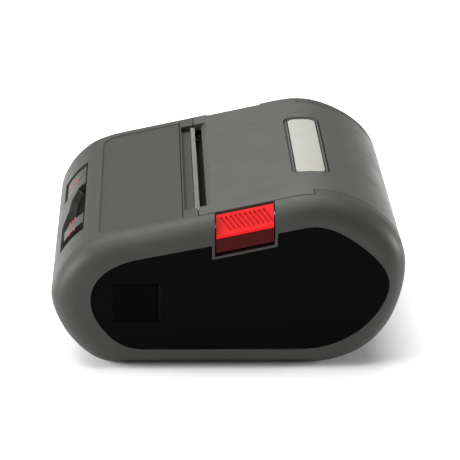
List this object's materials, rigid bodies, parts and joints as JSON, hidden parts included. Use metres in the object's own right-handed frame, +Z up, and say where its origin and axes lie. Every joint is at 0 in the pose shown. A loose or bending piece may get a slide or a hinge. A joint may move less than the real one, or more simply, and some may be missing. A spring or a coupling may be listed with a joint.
{
  "type": "mobile receipt printer",
  "caption": "Hand-held thermal receipt printer with a hinged roll cover, roll window, side latches, nose keys, a side port flap and a geared platen",
  "frame": {"origin": "middle of the bounding box's footprint, on the resting plane", "axes": "X runs along the length from the key nose (-X) to the roll hinge (+X), Y runs across from the port side (-Y), Z is up"},
  "size_m": [0.12, 0.11, 0.0615],
  "materials": {
    "housing_grey": "fine spark-eroded satin moulding",
    "cover_grey": "smooth satin moulding",
    "panel_black": "polished black moulding",
    "deck_grey": "fine matt inlay",
    "black_plastic": "matt moulding",
    "dark_plastic": "matt glass-filled moulding",
    "latch_red": "semi-gloss moulding with ribs",
    "key_grey": "satin moulding with printed red marks",
    "lens": "translucent moulding",
    "steel": "zinc plated sheet and ground rod",
    "bright_steel": "bright drawn wire",
    "aluminium": "extruded plate",
    "ceramic": "glazed alumina",
    "rubber": "ground rubber",
    "port_rubber": "moulded rubber",
    "gear_plastic": "natural acetal",
    "brass": "machined",
    "board": "solder mask over glass-epoxy",
    "chip": "moulded packages",
    "battery": "shrink sleeve",
    "ribbon": "polyimide strip"
  },
  "bodies": {
    "base": {"housing": "housing_grey", "base_plate": "dark_plastic", "battery_door": "dark_plastic", "battery_pack": "battery", "base_screws": "steel", "side_panel_near": "panel_black", "side_panel_far": "panel_black", "deck_panel": "deck_grey", "tear_bar": "steel", "mech_frame": "steel", "thermal_head": "ceramic", "head_heatsink": "aluminium", "head_springs": "bright_steel", "feed_motor": "steel", "roll_tray": "black_plastic", "paper_sensor": "chip", "hinge_pin": "bright_steel", "cover_spring": "bright_steel", "latch_pins": "bright_steel", "main_board": "board", "board_chips": "chip", "usb_socket": "bright_steel", "head_ribbon": "ribbon", "key_bezel": "black_plastic", "key_board": "board"},
    "lid": {"lid_cover": "cover_grey", "lid_liner": "black_plastic", "window_lens": "lens", "platen_bushes": "gear_plastic"},
    "platen": {"platen_roller": "rubber", "platen_shaft": "bright_steel", "platen_gear": "gear_plastic"},
    "idler": {"idler_gear": "gear_plastic"},
    "pinion": {"motor_pinion": "brass"},
    "latch_near_body": {"latch_near": "latch_red"},
    "latch_far_body": {"latch_far": "latch_red"},
    "key_power_body": {"key_power": "key_grey"},
    "key_feed_body": {"key_feed": "key_grey"},
    "key_mode_body": {"key_mode": "key_grey"},
    "port_flap": {"port_cover": "port_rubber"}
  },
  "joints": [
    {"name": "lid_hinge", "type": "hinge", "parent": "base", "child": "lid", "pos_m": [0.055, 0, 0.0265], "axis": [0, 1, 0], "range_deg": [0, 80]},
    {"name": "platen_spin", "type": "hinge", "parent": "lid", "child": "platen", "pos_m": [-0.0032, 0, 0.044], "axis": [0, 1, 0], "continuous": true},
    {"name": "idler_spin", "type": "hinge", "parent": "base", "child": "idler", "pos_m": [-0.0032, 0.0443, 0.03035], "axis": [0, 1, 0], "continuous": true},
    {"name": "pinion_spin", "type": "hinge", "parent": "base", "child": "pinion", "pos_m": [-0.01367, 0.0443, 0.02547], "axis": [0, 1, 0], "continuous": true},
    {"name": "latch_near_swing", "type": "hinge", "parent": "base", "child": "latch_near_body", "pos_m": [0.00585, -0.0493, 0.05322], "axis": [-0.9761, 0, -0.2173], "range_deg": [0, 12], "stiffness_Nm_per_rad": 0.05},
    {"name": "latch_far_swing", "type": "hinge", "parent": "base", "child": "latch_far_body", "pos_m": [0.00585, 0.0493, 0.05322], "axis": [0.9761, 0, 0.2173], "range_deg": [0, 12], "stiffness_Nm_per_rad": 0.05},
    {"name": "key_power_press", "type": "slide", "parent": "base", "child": "key_power_body", "axis": [0.7638, 0, -0.6455], "range_m": [0, 0.0008], "stiffness_N_per_m": 400},
    {"name": "key_feed_press", "type": "slide", "parent": "base", "child": "key_feed_body", "axis": [0.7638, 0, -0.6455], "range_m": [0, 0.0008], "stiffness_N_per_m": 400},
    {"name": "key_mode_press", "type": "slide", "parent": "base", "child": "key_mode_body", "axis": [0.7638, 0, -0.6455], "range_m": [0, 0.0008], "stiffness_N_per_m": 400},
    {"name": "port_cover_swing", "type": "hinge", "parent": "base", "child": "port_flap", "pos_m": [-0.0233, -0.0546, 0.0248], "axis": [0, 0, 1], "range_deg": [0, 90]}
  ],
  "couplings": [
    {"joint": "idler_spin", "follows": "platen_spin", "ratio": -0.85714},
    {"joint": "pinion_spin", "follows": "platen_spin", "ratio": 1.5}
  ]
}
